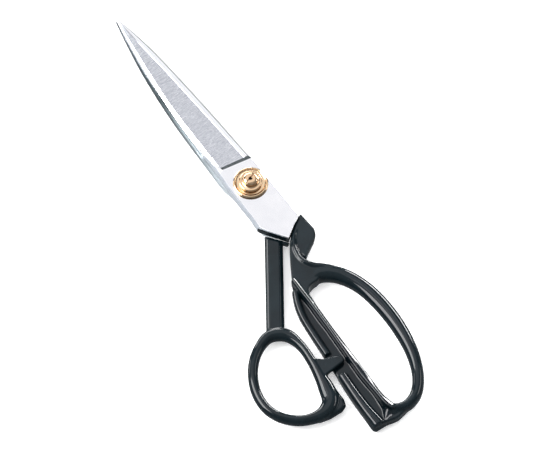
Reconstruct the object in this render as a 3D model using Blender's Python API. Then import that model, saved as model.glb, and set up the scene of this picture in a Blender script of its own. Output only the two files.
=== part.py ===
"""Bent tailor's shears, 240 mm class, right-handed, lying closed on their back.

The origin is on the pivot axis, on the plane that the shears rest on. +Y runs to the blade tips, +X to the
finger side and +Z out of the nut. All driving sizes below are in millimetres.
"""

import math

import bmesh
import bpy
import numpy as np

MM = 0.001
RUNNING_GAP = 0.08  # radial, bolt to round holes
GAP = 0.3  # between faces that meet

# Heights of the layers, from the table up
HEAD_TOP = 1.2
REAR_BOTTOM = HEAD_TOP + GAP
BLADE_STOCK = 3.7  # thickness of each ricasso
REAR_TOP = REAR_BOTTOM + BLADE_STOCK
FRONT_BOTTOM = REAR_TOP + GAP
FRONT_TOP = FRONT_BOTTOM + BLADE_STOCK
WASHER_BOTTOM = FRONT_TOP + GAP
NUT_BOTTOM = WASHER_BOTTOM + 1.15

# Blades
TIP_Y = 106.0
RICASSO_Y = 12.2  # where the ground blade meets the thick flat round the pivot
RICASSO_LEFT, RICASSO_RIGHT = -9.9, 8.2
BLADE_DROP = 0.95  # ground blade below the ricasso's face, at the ricasso
TIP_THICKNESS = 1.1
REAR_TIP_THICKNESS = 1.9
PANEL_DEPTH = 0.22
EDGE_LAND = 0.3
SPINE_X = ((RICASSO_Y, 8.1), (48, 6.6), (80, 4.5), (97, 2.2), (TIP_Y, 0.4))
FRONT_EDGE_X = ((RICASSO_Y, -9.0), (48, -7.7), (75, -5.1), (95, -2.1), (TIP_Y, -0.35))
REAR_SPINE_X = ((RICASSO_Y, -9.9), (48, -8.8), (75, -6.3), (95, -2.9), (TIP_Y, -0.6))
PANEL_LEFT_X = ((RICASSO_Y, -6.5), (48, -6.1), (75, -4.6), (95, -1.9), (TIP_Y, -0.15))
PANEL_RIGHT_X = ((RICASSO_Y, 6.0), (48, 4.0), (75, 2.4), (95, 0.7), (TIP_Y, 0.0))

# Pivot
BOLT_HEAD_R = 6.5
NECK_SIDE = 7.0  # the square neck that stops the bolt turning in the rear blade
SHANK_R = 3.4
THREAD_R = 2.5
BOLT_END = 13.0
WASHER_R = 7.9
NUT_R = 5.3
NUT_TOP = 14.0
SLOT_ANGLE = math.radians(17.7)

# Bow centre lines: x, y, half width, half thickness, height of the centre
FINGER_BOW = (
    (-12.0, -65, 1.2, 3.2, 4.7), (-13.1, -85, 1.0, 3.2, 4.7), (-13.8, -105, 1.1, 3.2, 4.7),
    (-14.2, -119, 1.2, 3.2, 4.7), (-13.8, -126.2, 1.8, 3.4, 4.8), (-10.6, -130.0, 2.2, 3.5, 4.9),
    (-5.0, -130.7, 2.5, 3.5, 4.9), (1.2, -127.6, 2.7, 3.4, 4.9), (6.9, -120.2, 2.7, 3.4, 4.9),
    (11.3, -108.8, 3.0, 3.4, 4.9), (13.6, -94.4, 3.4, 3.4, 4.9), (13.5, -79.9, 3.6, 3.4, 4.9),
    (11.3, -68.2, 3.6, 3.5, 4.9), (6.5, -59.0, 3.8, 3.7, 4.9), (-0.6, -54.3, 3.6, 3.8, 4.9),
    (-7.2, -57.0, 1.9, 3.4, 4.7),
)
# The finger bow's opening, anticlockwise
BOW_HOLE = ((-6.6, -58.3), (-9.8, -60.5), (-10.8, -65.0), (-11.5, -81.0), (-12.1, -105.0), (-12.6, -117.5),
            (-12.3, -123.2), (-10.8, -126.5), (-8.2, -127.9), (-4.4, -127.7), (-0.9, -125.3), (4.4, -118.8),
            (8.4, -107.9), (10.0, -94.1), (9.9, -80.7), (8.1, -70.5), (4.1, -62.4), (-0.8, -58.2))
# The upright wall that makes the bow's straight side: y, left face, right face
STRAIGHT_WALL = ((-50.6, -13.1, -10.6), (-60, -13.3, -10.4), (-67, -13.4, -10.6), (-80, -13.9, -11.2),
                 (-90, -14.5, -11.5), (-100, -15.1, -11.8), (-108, -15.5, -12.0), (-116, -15.3, -12.3),
                 (-121, -15.2, -12.3), (-126, -15.0, -11.6), (-130, -13.9, -10.2))
WALL_BOTTOM, WALL_TOP = 2.65, 8.8
THUMB_BOW = (
    (-29.9, -71.3, 3.1, 2.7, 4.9), (-36.2, -67.6, 3.0, 2.7, 4.9), (-42.8, -69.4, 2.5, 2.7, 4.9),
    (-49.4, -74.1, 2.4, 2.7, 4.9), (-54.6, -80.9, 2.3, 2.7, 4.9), (-57.8, -88.7, 2.3, 2.7, 4.9),
    (-58.4, -96.7, 2.3, 2.7, 4.9), (-56.0, -103.7, 2.3, 2.7, 4.9), (-51.0, -109.3, 2.4, 2.7, 4.9),
    (-44.9, -112.4, 2.6, 2.7, 4.9), (-38.2, -112.9, 3.4, 2.8, 4.8), (-32.8, -109.6, 3.9, 2.9, 4.7),
    (-30.6, -103.3, 3.7, 2.9, 4.7), (-29.4, -96.3, 2.7, 2.8, 4.8), (-28.2, -88.1, 2.2, 2.7, 4.9),
    (-27.8, -79.1, 2.2, 2.7, 4.9),
)

# Thumb shank: a chamfered bar from the pivot end to the bow
SHANK_START, SHANK_END = (-5.2, -25.6), (-33.9, -68.4)
SHANK_HALF_WIDTH, SHANK_CHAMFER = 4.1, 1.7
SHANK_BOTTOM, SHANK_TOP = 1.7, 6.4
SEAT_BOTTOM = 5.4  # above this the shank's end is cut back for the front ricasso
ROOT_BOTTOM, ROOT_TOP = 2.4, 5.3  # the small flare at the shank's end
TONGUE_BOTTOM, TONGUE_TOP = 4.75, 7.2  # the closing stop, a block that reaches over the flange
FLOOR_BOTTOM, FLOOR_TOP = 2.0, 4.3  # the flange along the finger bow


def clear_scene():
    for thing in list(bpy.data.objects):
        bpy.data.objects.remove(thing, do_unlink=True)


def material(name, colour, metallic, roughness):
    made = bpy.data.materials.new(name)
    made.use_nodes = True
    shader = made.node_tree.nodes["Principled BSDF"]
    shader.inputs["Base Color"].default_value = (*colour, 1)
    shader.inputs["Metallic"].default_value = metallic
    shader.inputs["Roughness"].default_value = roughness
    return made


def curve_points(points, steps, closed=False):
    """Points of a smooth curve through the given ones (Catmull-Rom), in as many numbers as each point holds."""
    given = np.array(points, float)
    count = len(given)
    made = []
    for i in range(count if closed else count - 1):
        if closed:
            a, b, c, d = (given[(i + k) % count] for k in (-1, 0, 1, 2))
        else:
            b, c = given[i], given[i + 1]
            a = given[i - 1] if i else 2 * b - c
            d = given[i + 2] if i + 2 < count else 2 * c - b
        for t in np.arange(steps) / steps:
            made.append(0.5 * (2 * b + (c - a) * t + (2 * a - 5 * b + 4 * c - d) * t**2
                               + (3 * b - a - 3 * c + d) * t**3))
    if not closed:
        made.append(given[-1])
    return np.array(made)


def value_at(y, table):
    """x of a smooth line given as (y, x) pairs."""
    line = curve_points(table, 12)
    return float(np.interp(y, line[:, 0], line[:, 1]))


def new_object(name, points, faces, look=None):
    """A closed mesh object from points in millimetres."""
    mesh = bpy.data.meshes.new(name)
    bm = bmesh.new()
    corners = [bm.verts.new([float(v) * MM for v in p]) for p in points]
    for face in faces:
        bm.faces.new([corners[i] for i in face])
    bmesh.ops.recalc_face_normals(bm, faces=bm.faces)
    bmesh.ops.triangulate(bm, faces=[f for f in bm.faces if len(f.verts) > 4])
    bm.to_mesh(mesh)
    bm.free()
    made = bpy.data.objects.new(name, mesh)
    bpy.context.scene.collection.objects.link(made)
    if look is None:
        made.hide_render = True
        made.display_type = "WIRE"
    else:
        mesh.materials.append(look)
        mesh.shade_smooth()
        mesh.set_sharp_from_angle(angle=math.radians(35))
    return made


def skin(rings, loop=False):
    """Faces between rings of equal length, given as lists of points, with ends unless they run in a loop."""
    size = len(rings[0])
    points = [p for ring in rings for p in ring]
    faces = []
    for r in range(len(rings) if loop else len(rings) - 1):
        s = (r + 1) % len(rings)
        for i in range(size):
            j = (i + 1) % size
            faces.append((r * size + i, r * size + j, s * size + j, s * size + i))
    if not loop:
        faces.append(tuple(range(size))[::-1])
        faces.append(tuple((len(rings) - 1) * size + i for i in range(size)))
    return points, faces


def sideways(line, closed):
    """Unit vectors to the left of a line in the XY plane, one at each point."""
    before = np.roll(line, 1, axis=0) if closed else np.vstack([line[:1], line[:-1]])
    after = np.roll(line, -1, axis=0) if closed else np.vstack([line[1:], line[-1:]])
    along = (after - before)[:, :2]
    along /= np.linalg.norm(along, axis=1)[:, None]
    return np.column_stack([-along[:, 1], along[:, 0]])


def tube(name, stations, steps, closed, sides=12, squareness=0.8, look=None):
    """A bar of rounded section along stations of x, y, half width, half thickness and height."""
    line = curve_points(stations, steps, closed)
    across = sideways(line, closed)
    turn = np.arange(sides) * 2 * math.pi / sides
    flat = np.sign(np.cos(turn)) * np.abs(np.cos(turn)) ** squareness
    tall = np.sign(np.sin(turn)) * np.abs(np.sin(turn)) ** squareness
    rings = []
    for (x, y, wide, thick, height), (nx, ny) in zip(line, across):
        rings.append([(x + nx * wide * f, y + ny * wide * f, height + thick * h)
                      for f, h in zip(flat, tall)])
    return new_object(name, *skin(rings, loop=closed), look)


def plate(name, outline, bottom, top, edge, look=None, under=None):
    """A flat plate between two heights, with its rims chamfered by edge, or by under on the lower side.

    The outline runs anticlockwise.
    """
    line = np.array(outline, float)
    inwards = sideways(line, True)
    low_edge = under or edge
    rings = []
    for height, inset in ((bottom, low_edge), (bottom + low_edge, 0), (top - edge, 0), (top, edge)):
        rings.append([(x, y, height) for x, y in line[:, :2] + inwards * inset])
    return new_object(name, *skin(rings), look)


def turned(name, profile, sides, look=None):
    """A ring turned about the pivot axis from a closed profile of (radius, height)."""
    rings = []
    for i in range(sides):
        a = 2 * math.pi * i / sides
        rings.append([(r * math.cos(a), r * math.sin(a), z) for r, z in profile])
    return new_object(name, *skin(rings, loop=True), look)


def drum(name, radius, bottom, top, sides, look=None):
    """A plain cylinder on the pivot axis."""
    rings = [[(radius * math.cos(2 * math.pi * i / sides), radius * math.sin(2 * math.pi * i / sides), z)
              for i in range(sides)] for z in (bottom, top)]
    return new_object(name, *skin(rings), look)


def block(name, x, y, z, angle=0.0):
    """A helper box between pairs of limits, turned about the pivot axis."""
    c, s = math.cos(angle), math.sin(angle)
    rings = [[(px * c - py * s, px * s + py * c, h) for px, py in
              ((x[0], y[0]), (x[1], y[0]), (x[1], y[1]), (x[0], y[1]))] for h in z]
    return new_object(name, *skin(rings))


def combine(base, others, operation):
    for other in others:
        step = base.modifiers.new(other.name, "BOOLEAN")
        step.operation = operation
        step.object = other


def blade_thickness(y, side):
    """The front blade is ground down from its ricasso; the rear one tapers evenly from its full stock."""
    share = (y - RICASSO_Y) / (TIP_Y - RICASSO_Y)
    if side > 0:
        return (BLADE_STOCK - BLADE_DROP) * (1 - share) + TIP_THICKNESS * share
    return BLADE_STOCK * (1 - share) + REAR_TIP_THICKNESS * share


def blade_section(edge, left, right, spine, thick):
    """(x, depth) points of the ground blade, from the cutting edge over the outer face to the spine."""
    bevel_top = EDGE_LAND + 0.72 * (thick - EDGE_LAND)
    groove = min(PANEL_DEPTH, 0.2 * thick)
    step = 0.15 * (right - left)
    return ((edge, 0), (edge, EDGE_LAND), (left, bevel_top), (left + step, bevel_top - groove),
            (right - step, thick - groove), (right, thick), (spine - 0.1 * (spine - right), thick),
            (spine, thick - 0.25), (spine, 0))


def ground_blade(name, edge_x, spine_x, mating, side):
    """The blade past the ricasso. side is +1 when its outer face looks up and its spine is at +X."""
    rings = []
    for share in np.linspace(0, 1, 26):
        y = RICASSO_Y - 1.5 + (TIP_Y - RICASSO_Y + 1.5) * share
        at = min(max(y, RICASSO_Y), TIP_Y)
        edge, spine = value_at(at, edge_x), value_at(at, spine_x)
        span = (spine - edge) * side
        left = edge + side * span * 0.22
        right = edge + side * span * 0.78
        if side > 0:
            left = max(edge + 0.1 * span, value_at(at, PANEL_LEFT_X))
            right = min(spine - 0.12 * span, value_at(at, PANEL_RIGHT_X))
        if right * side < (left + side * 0.2 * span) * side:
            right = left + side * 0.2 * span
        section = blade_section(edge, left, right, spine, blade_thickness(at, side))
        rings.append([(x, y, mating + side * depth) for x, depth in section])
    return new_object(name, *skin(rings))


def thumb_blade(look):
    """The front blade: ricasso with the round pivot hole, and the ground blade."""
    outline = ((RICASSO_RIGHT, -25.3), (RICASSO_RIGHT, RICASSO_Y - 3), (7.9, RICASSO_Y), (-9.0, RICASSO_Y),
               (RICASSO_LEFT, RICASSO_Y - 4), (RICASSO_LEFT, -15), (-10.5, -21.6), (-8.0, -24.9),
               (-5.2, -28.4), (-2.1, -32.6))
    made = plate("thumb_blade", outline, FRONT_BOTTOM, FRONT_TOP, 0.25, look)
    combine(made, [ground_blade("front_grind", FRONT_EDGE_X, SPINE_X, FRONT_BOTTOM, 1)], "UNION")
    combine(made, [drum("front_hole", SHANK_R + RUNNING_GAP, 0, 20, 48)], "DIFFERENCE")
    return made


def bar_section(low, high, half, corner):
    """(offset, height) points of a bar with its four long edges chamfered."""
    return ((half, low + corner), (half, high - corner), (half - corner, high), (corner - half, high),
            (-half, high - corner), (-half, low + corner), (corner - half, low), (half - corner, low))


def bar_between(name, start, end, section):
    """A straight bar whose section is given as (offset to the left, height)."""
    (x0, y0), (x1, y1) = start, end
    length = math.hypot(x1 - x0, y1 - y0)
    nx, ny = -(y1 - y0) / length, (x1 - x0) / length
    rings = [[(x + nx * off, y + ny * off, h) for off, h in section] for x, y in (start, end)]
    return new_object(name, *skin(rings))


def ricasso_keep_out(name, points, low, high):
    """A square-edged cutter where no handle may stand."""
    return plate(name, points, low, high, 0.01)


def thumb_handle(look):
    """Bow, shank, wing and stop tongue in one casting."""
    made = tube("thumb_handle", THUMB_BOW, 4, True, squareness=0.95, look=look)
    shank = bar_between("shank", SHANK_START, SHANK_END,
                        bar_section(SHANK_BOTTOM, SHANK_TOP, SHANK_HALF_WIDTH, SHANK_CHAMFER))
    wing = plate("wing", ((-44.6, -112.1), (-42.8, -115.8), (-37.7, -116.8), (-31.2, -116.8), (-28.5, -115.5),
                          (-27.4, -112.6), (-27.2, -105), (-26.5, -98.7), (-26.7, -92), (-30.1, -96),
                          (-32.1, -105), (-35.6, -111)), 2.4, 5.8, 1.0)
    tongue = plate("tongue", ((-29.5, -98.6), (-26.2, -98.4), (-17.2, -97.4), (-16.2, -96.6), (-15.9, -95.2),
                              (-16.5, -94.0), (-23.9, -91.2), (-26.8, -88.9), (-28.4, -88.2)),
                   TONGUE_BOTTOM, TONGUE_TOP, 0.3)
    root = plate("root", ((-9.6, -22.6), (-9.2, -24.0), (-8.6, -25.6), (-5.6, -30.6), (-2.9, -33.6),
                          (-1.6, -32.8), (-4.7, -29.2), (-8.4, -22.4)), ROOT_BOTTOM, ROOT_TOP, 0.4)
    combine(made, [shank, wing, tongue, root], "UNION")
    # Nothing of the handle stands inside the ricassos' V, whose lower left edge is this line
    v_cut = ricasso_keep_out("thumb_v_cut", ((-2.4, -33.15), (10, -20), (0, -10), (-14, -14), (-11.4, -22.95),
                                             (-9.0, -25.0)), 0, 20)
    seat = ricasso_keep_out("thumb_seat_cut", ((-3.4, -32.7), (10, -20), (0, -10), (-14, -14), (-12.0, -23.0),
                                               (-9.4, -25.4)), SEAT_BOTTOM, 20)
    combine(made, [v_cut, seat], "DIFFERENCE")
    return made


def finger_blade(look):
    """The rear blade: ricasso with the square hole, ground blade, and the end that the handle is forged to."""
    outline = ((7.9, -24.6), (7.9, RICASSO_Y - 2), (7.0, RICASSO_Y), (-9.9, RICASSO_Y), (-9.6, 9.5), (-8.6, 4.5),
               (-8.4, -20.6), (-1.1, -30.9))
    made = plate("finger_blade", outline, REAR_BOTTOM, REAR_TOP, 0.25, look)
    hidden_edge = tuple((y, x - 1.1 * (TIP_Y - y) / (TIP_Y - RICASSO_Y) - 0.1) for y, x in SPINE_X)
    combine(made, [ground_blade("rear_grind", hidden_edge, REAR_SPINE_X, REAR_TOP, -1)], "UNION")
    half = NECK_SIDE / 2 + 0.1
    combine(made, [block("rear_hole", (-half, half), (-half, half), (0, 20))], "DIFFERENCE")
    return made


def straight_wall():
    """The thin upright wall of the finger bow, with its crest chamfered on both sides."""
    low, top = WALL_BOTTOM, WALL_TOP
    rings = [[(left, y, low), (right, y, low), (right, y, top - 1.2), (right - 0.5, y, top - 0.7),
              (left + 0.8, y, top), (left, y, top - 0.6)] for y, left, right in curve_points(STRAIGHT_WALL, 3)]
    return new_object("straight_wall", *skin(rings))


def gusset():
    """The sloping facet in the lower end of the recess, in three sections along the wall."""
    upper = [(-13.5, -120.0, 2.7), (-13.5, -120.0, 8.0), (-15.0, -120.0, 7.8), (-15.4, -120.0, 2.7)]
    middle = [(-13.0, -126.0, 2.7), (-13.0, -126.0, 7.9), (-14.6, -126.0, 7.6), (-17.4, -126.0, 2.7)]
    lower = [(-12.0, -131.2, 2.7), (-12.0, -131.2, 7.2), (-14.2, -131.2, 6.8), (-19.2, -131.2, 3.9)]
    return new_object("gusset", *skin([upper, middle, lower]))


def finger_handle(look):
    """Neck, shoulder, bow, and the flange with its two ribs, in one casting."""
    made = tube("finger_handle", FINGER_BOW, 4, True, squareness=0.92, look=look)
    neck = plate("neck", ((10.5, -30.0), (9.9, -24.4), (-1.8, -33.1), (-4.4, -37.0), (-5.0, -43.5),
                          (-1.5, -45.6), (-0.2, -44.2), (1.5, -42.9), (3.8, -41.4), (7.2, -39.3),
                          (9.7, -37.0), (10.8, -34.3)), 1.7, 6.6, 0.5, under=2.4)
    shoulder = plate("shoulder", ((10.5, -30.0), (9.9, -24.4), (-0.1, -31.5), (-0.5, -34.4), (-1.0, -37.8),
                                  (-1.8, -41.2), (-1.0, -44.6), (1.5, -42.9), (3.8, -41.4), (7.2, -39.3),
                                  (9.7, -37.0), (10.8, -34.3)), 5.0, 7.9, 0.5)
    web = plate("web", ((-1.8, -33.4), (-4.3, -36.7), (-8.2, -43.0), (-11.9, -49.4), (-13.3, -51.5),
                        (-13.2, -58.0), (-13.2, -66.0), (-10.6, -66.0), (-9.6, -61.2), (-6.4, -58.8), (3, -54.5),
                        (3.6, -52.5), (0.6, -50.4), (-1.6, -48.0), (-3.2, -44.8), (-3.2, -41.0),
                        (-1.8, -37.0)), 2.0, 8.3, 0.5)
    rib = tube("neck_rib", ((4.4, -29.9, 0.9, 2.4, 5.6), (1.4, -32.2, 1.2, 2.8, 5.8),
                            (-0.3, -33.9, 1.3, 3.0, 5.9), (-2.0, -37.1, 1.4, 3.1, 5.9),
                            (-3.2, -41.2, 1.5, 3.2, 5.9), (-3.2, -44.7, 1.6, 3.2, 5.9),
                            (-1.7, -48.2, 1.7, 3.2, 5.8), (0.4, -50.6, 1.7, 3.2, 5.6),
                            (3.4, -52.9, 1.6, 3.2, 5.4), (7.0, -56.4, 1.5, 3.0, 5.1),
                            (9.4, -60.6, 1.2, 2.6, 4.9)), 3, False, sides=10)
    flange = plate("flange", ((-13.6, -52.4), (-14.4, -54.8), (-17.2, -59.0), (-18.8, -62.6), (-20.2, -67.7),
                              (-21.2, -77.0), (-22.0, -86.0), (-22.5, -92.0), (-23.1, -100.0), (-24.3, -109.0),
                              (-25.3, -126.4), (-25.6, -131.2), (-25.0, -132.7), (-23.6, -133.2),
                              (-18.8, -133.2), (-15.0, -134.0), (-12.8, -134.2), (-9.0, -133.3), (-4.2, -132.0),
                              (-8, -129), (-14, -126), (-14, -90), (-13.0, -60)), FLOOR_BOTTOM, FLOOR_TOP, 0.4)
    upper_rib = tube("upper_rib", ((-13.6, -56.6, 1.45, 2.2, 5.3), (-16.7, -61.9, 1.55, 2.1, 5.1),
                                   (-18.8, -68.5, 1.6, 2.0, 4.9), (-19.8, -78.0, 1.6, 1.9, 4.8),
                                   (-20.7, -90.0, 1.6, 1.9, 4.8)), 3, False, sides=10, squareness=0.7)
    lower_rib = tube("lower_rib", ((-21.3, -102.0, 2.2, 3.6, 3.7), (-22.3, -114.0, 2.4, 3.9, 3.9),
                                   (-22.5, -123.0, 2.7, 3.9, 3.9), (-22.0, -132.2, 3.2, 3.7, 3.7)),
                     3, False, sides=12, squareness=0.8)
    corner = plate("corner", ((-24.6, -130.7), (-24.1, -132.2), (-18.7, -132.7), (-15.1, -133.5),
                              (-12.9, -133.7), (-9.1, -132.8), (-4.5, -131.6), (-6, -129.5), (-12.2, -129.0),
                              (-14.2, -131.6), (-18.2, -132.0), (-20.2, -130.5)), 2.7, 6.5, 0.4)
    combine(made, [straight_wall(), neck, shoulder, web, rib, flange, upper_rib, lower_rib, corner, gusset()],
            "UNION")
    # Room for the ricassos: the front one turns over the whole V, the rear one ends against the shoulder
    front_v = ricasso_keep_out("front_v_cut", ((9.3, -24.95), (12, -10), (-16, -10), (-12, -22), (-2.2, -33.25)),
                               REAR_TOP + 0.05, 20)
    rear_v = ricasso_keep_out("rear_v_cut", ((8.3, -24.9), (8.3, -10), (-12, -10), (-12, -20.6), (-1.2, -31.9)),
                              0, REAR_TOP + 0.1)
    bow_hole = plate("bow_hole", curve_points(BOW_HOLE, 3, True), 0, 20, 0.01)
    combine(made, [front_v, rear_v, bow_hole], "DIFFERENCE")
    return made


def pivot_bolt(look):
    """Flat head, square neck and round shank, then the threaded end under the nut's cap."""
    made = drum("pivot_bolt", BOLT_HEAD_R, 0, HEAD_TOP, 48, look)
    half = NECK_SIDE / 2
    neck = block("bolt_neck", (-half, half), (-half, half), (HEAD_TOP - 0.5, REAR_TOP))
    shank = drum("bolt_shank", SHANK_R, HEAD_TOP, FRONT_TOP, 48)
    thread = drum("bolt_thread", THREAD_R, HEAD_TOP, BOLT_END, 48)
    combine(made, [neck, shank, thread], "UNION")
    return made


def pivot_washer(look):
    """The seat under the nut, with a raised round rim."""
    bore, rim, low = THREAD_R + RUNNING_GAP, WASHER_R, WASHER_BOTTOM
    return turned("pivot_washer", ((bore, low), (rim - 0.2, low), (rim, low + 0.25), (rim - 0.1, low + 0.7),
                                   (rim - 0.5, low + 0.95), (rim - 1.0, low + 1.0), (rim - 1.5, low + 0.85),
                                   (bore, low + 0.8)), 48, look)


def tension_nut(look):
    """A stepped cap nut, slotted for a driver, with a small hole through its cap."""
    bore, low, top = THREAD_R + RUNNING_GAP, NUT_BOTTOM, NUT_TOP
    hole = 0.95
    made = turned("tension_nut", ((bore, low), (NUT_R, low), (NUT_R + 0.05, low + 0.5), (NUT_R - 0.3, low + 0.9),
                                  (NUT_R - 1.2, low + 1.0), (3.6, low + 1.3), (3.1, top - 0.45),
                                  (2.6, top - 0.05), (1.6, top + 0.05), (hole, top), (hole, BOLT_END + 0.3),
                                  (bore, BOLT_END + 0.3)), 48, look)
    slot = block("driver_slot", (-4.4, 4.4), (-0.5, 0.5), (NUT_TOP - 0.7, NUT_TOP + 1), SLOT_ANGLE)
    combine(made, [slot], "DIFFERENCE")
    return made


def main():
    clear_scene()
    steel = material("polished_steel", (0.62, 0.63, 0.66), 1.0, 0.25)
    enamel = material("black_enamel", (0.012, 0.016, 0.018), 0.0, 0.18)
    brass = material("brass", (0.86, 0.58, 0.26), 1.0, 0.2)
    bolt_steel = material("bolt_steel", (0.3, 0.3, 0.31), 1.0, 0.35)
    thumb_blade(steel)
    thumb_handle(enamel)
    finger_blade(steel)
    finger_handle(enamel)
    pivot_bolt(bolt_steel)
    pivot_washer(brass)
    tension_nut(brass)


main()
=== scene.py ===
"""Looks of the bent tailor's shears: cast enamelled handles, ground steel blades and a brass pivot.

The shapes are in millimetres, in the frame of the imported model: the origin on the pivot axis at the table,
+Y to the blade tips, +Z up through the nut. The camera, the lights and the materials' scales are in metres.
"""

import math

import bmesh
import bpy
import numpy as np
from mathutils import Matrix, Vector

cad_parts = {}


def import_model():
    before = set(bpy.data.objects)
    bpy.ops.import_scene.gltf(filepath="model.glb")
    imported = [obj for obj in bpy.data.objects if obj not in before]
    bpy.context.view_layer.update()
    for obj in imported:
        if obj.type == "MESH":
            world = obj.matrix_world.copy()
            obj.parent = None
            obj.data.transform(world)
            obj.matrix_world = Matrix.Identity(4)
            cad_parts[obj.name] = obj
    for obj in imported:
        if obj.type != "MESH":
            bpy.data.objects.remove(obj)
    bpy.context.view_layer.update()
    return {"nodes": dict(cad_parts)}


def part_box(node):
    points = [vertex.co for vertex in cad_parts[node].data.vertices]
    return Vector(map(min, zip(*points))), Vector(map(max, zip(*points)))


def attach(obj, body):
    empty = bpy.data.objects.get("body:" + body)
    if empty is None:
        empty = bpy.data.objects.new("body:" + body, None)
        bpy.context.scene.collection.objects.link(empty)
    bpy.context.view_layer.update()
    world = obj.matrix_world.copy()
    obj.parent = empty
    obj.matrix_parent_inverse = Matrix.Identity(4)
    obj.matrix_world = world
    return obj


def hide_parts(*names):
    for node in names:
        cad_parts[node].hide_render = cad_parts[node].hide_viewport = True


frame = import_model()

MM = 0.001


def heights(node):
    """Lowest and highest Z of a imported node, in millimetres."""
    low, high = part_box(node)
    return low[2] / MM, high[2] / MM


REAR_BOTTOM, REAR_TOP = heights("finger_blade")
FRONT_BOTTOM, FRONT_TOP = heights("thumb_blade")
WASHER_BOTTOM = heights("pivot_washer")[0]
NUT_BOTTOM, NUT_TOP = heights("tension_nut")
BLADE_STOCK = FRONT_TOP - FRONT_BOTTOM

# Blades
TIP_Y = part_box("thumb_blade")[1][1] / MM
RICASSO_Y = 12.2  # where the ground blade meets the thick flat round the pivot
BLADE_DROP = 0.95  # how far the ground face starts below the ricasso's
TIP_THICKNESS, REAR_TIP_THICKNESS = 1.1, 1.9
PANEL_DEPTH = 0.22
PANEL_WALL = 0.32  # how far the step down into the panel runs
EDGE_LAND = 0.3  # thickness left at the cutting edge
BEVEL_SLOPE = 0.36
BEVEL_TOP = 0.72  # share of the thickness that the bevel climbs to, beside the panel
PLUNGE = 2.3  # how far the step down from the ricasso runs, behind the panel
EDGE_RUN, EDGE_RUN_WIDTH = 7.5, 2.6  # its extra run per mm towards the cutting edge, and over what width
HOLLOW = 0.12  # how far the inside faces are ground hollow
RIM_ROUND = 0.35  # of the spine's corner
EDGE_ROUND = 0.8  # of the corner along the ricasso's left side
SLANT, SLANT_PER_MM = 1.1, -0.15  # how far the step leads at the cutting edge, and its change across
SLANT_RISE = 12  # the slant grows over this much of the ricasso
SLANT_END, SLANT_FADE = 26, 20  # it ends this far past the plunge, and fades over this length
BLEND_BEFORE, BLEND_LENGTH = 14, 16  # where the ricasso's straight sides run into the blade's curves
FULL_WIDTH = 7.0  # below this width, near the tip, the details across a blade shrink with it
FINE = 0.08  # the narrow strips that keep an edge crisp
SPINE_X = ((RICASSO_Y, 8.1), (48, 6.6), (80, 4.5), (97, 2.2), (TIP_Y, 0.4))
FRONT_EDGE_X = ((RICASSO_Y, -9.0), (48, -7.7), (75, -5.1), (95, -2.1), (TIP_Y, -0.35))
REAR_SPINE_X = ((RICASSO_Y, -9.9), (48, -8.8), (75, -6.3), (95, -2.9), (TIP_Y, -0.6))
PANEL_LEFT_X = ((RICASSO_Y, -6.5), (48, -6.1), (75, -4.6), (95, -1.9), (TIP_Y, -0.15))
PANEL_RIGHT_X = ((RICASSO_Y, 6.0), (48, 4.0), (75, 2.4), (95, 0.7), (TIP_Y, 0.0))
# Sides of the ricassos below the ground blades, as (y, x) from the end of the V upwards
FRONT_LEFT_X = ((-32.9, -2.2), (-28.9, -5.2), (-25.4, -8.0), (-22.1, -10.5), (-15, -9.9), (8.2, -9.9))
FRONT_RIGHT_X = ((-32.9, -2.0), (-25.3, 8.2), (9.2, 8.2))
REAR_LEFT_X = ((-30.9, -1.1), (-20.6, -8.4), (4.5, -8.6), (9.5, -9.6))
REAR_RIGHT_X = ((-30.9, -0.9), (-24.6, 7.9), (10.2, 7.9))

# Pivot
SHANK_R = 3.4
SQUARE_HALF = 3.6  # of the square hole in the rear blade
THREAD_R = 2.5
CLEARANCE = 0.08
WASHER_R = 7.9
NUT_R = 5.3
CAP_HOLE_R = 0.8
SLOT_HALF_LENGTH, SLOT_HALF_WIDTH, SLOT_DEPTH = 4.2, 0.5, 0.7
SLOT_ANGLE = math.radians(17.7)

# Bow centre lines: x, y, half width, half thickness, height of the centre
FINGER_BOW = (
    (-12.0, -65, 1.2, 3.2, 4.7), (-13.1, -85, 1.0, 3.2, 4.7), (-13.8, -105, 1.1, 3.2, 4.7),
    (-14.2, -119, 1.2, 3.2, 4.7), (-13.8, -126.2, 1.8, 3.4, 4.8), (-10.6, -130.0, 2.2, 3.5, 4.9),
    (-5.0, -130.7, 2.5, 3.5, 4.9), (1.2, -127.6, 2.7, 3.4, 4.9), (6.9, -120.2, 2.7, 3.4, 4.9),
    (11.3, -108.8, 3.0, 3.4, 4.9), (13.6, -94.4, 3.4, 3.4, 4.9), (13.5, -79.9, 3.6, 3.4, 4.9),
    (11.3, -68.2, 3.6, 3.5, 4.9), (6.5, -59.0, 3.8, 3.7, 4.9), (-0.6, -54.3, 3.6, 3.8, 4.9),
    (-7.2, -57.0, 1.9, 3.4, 4.7),
)
# The finger bow's opening, anticlockwise
BOW_HOLE = ((-6.3, -57.4), (-9.5, -59.3), (-10.6, -64.0), (-11.5, -81.0), (-12.1, -105.0), (-12.6, -117.5),
            (-12.3, -123.2), (-10.8, -126.5), (-8.2, -127.9), (-4.4, -127.7), (-0.9, -125.3), (4.4, -118.8),
            (8.4, -107.9), (10.0, -94.1), (9.9, -80.7), (8.1, -70.5), (4.1, -62.4), (-0.8, -58.2))
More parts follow.
